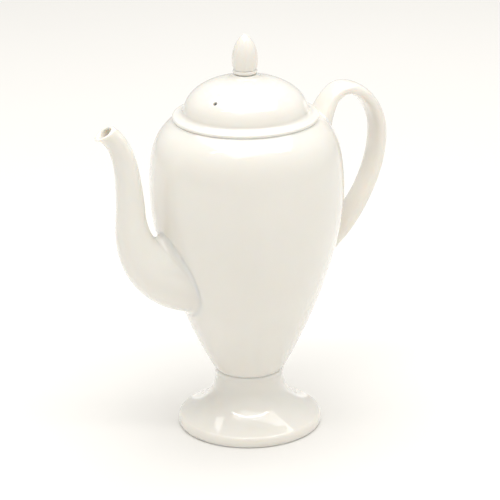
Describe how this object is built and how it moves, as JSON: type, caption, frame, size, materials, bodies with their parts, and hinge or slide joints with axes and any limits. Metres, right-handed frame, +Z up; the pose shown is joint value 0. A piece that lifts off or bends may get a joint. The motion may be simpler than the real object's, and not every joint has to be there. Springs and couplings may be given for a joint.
{
  "type": "coffee pot",
  "caption": "Tall footed porcelain coffee pot with an urn-shaped body, swan-neck spout, strap handle and a loose domed lid with an egg-shaped finial.",
  "frame": {"origin": "centre of the foot's rest ring, on the pot's axis, at the height of the table", "axes": "+Z up along the pot's axis, +X towards the handle, -X towards the spout, +Y across them"},
  "size_m": [0.2006, 0.1232, 0.26],
  "materials": {
    "body_glaze": "glossy warm-white glaze",
    "foot_glaze": "glossy warm-white glaze, bare rest ring",
    "spout_glaze": "glossy warm-white glaze",
    "handle_glaze": "glossy warm-white glaze",
    "lid_glaze": "glossy warm-white glaze",
    "flange_glaze": "glossy glaze, bare at its edge",
    "finial_glaze": "glossy warm-white glaze"
  },
  "bodies": {
    "pot": {"pot_body": "body_glaze", "pedestal_foot": "foot_glaze", "spout": "spout_glaze", "handle": "handle_glaze"},
    "lid_ring": {"lid_flange": "flange_glaze"},
    "lid": {"lid_bell": "lid_glaze", "finial": "finial_glaze"}
  },
  "joints": [
    {"name": "lid_lift", "type": "slide", "parent": "pot", "child": "lid_ring", "axis": [0, 0, 1], "range_m": [0, 0.09]},
    {"name": "lid_turn", "type": "hinge", "parent": "lid_ring", "child": "lid", "pos_m": [0, 0, 0.2062], "axis": [0, 0, 1], "continuous": true}
  ]
}
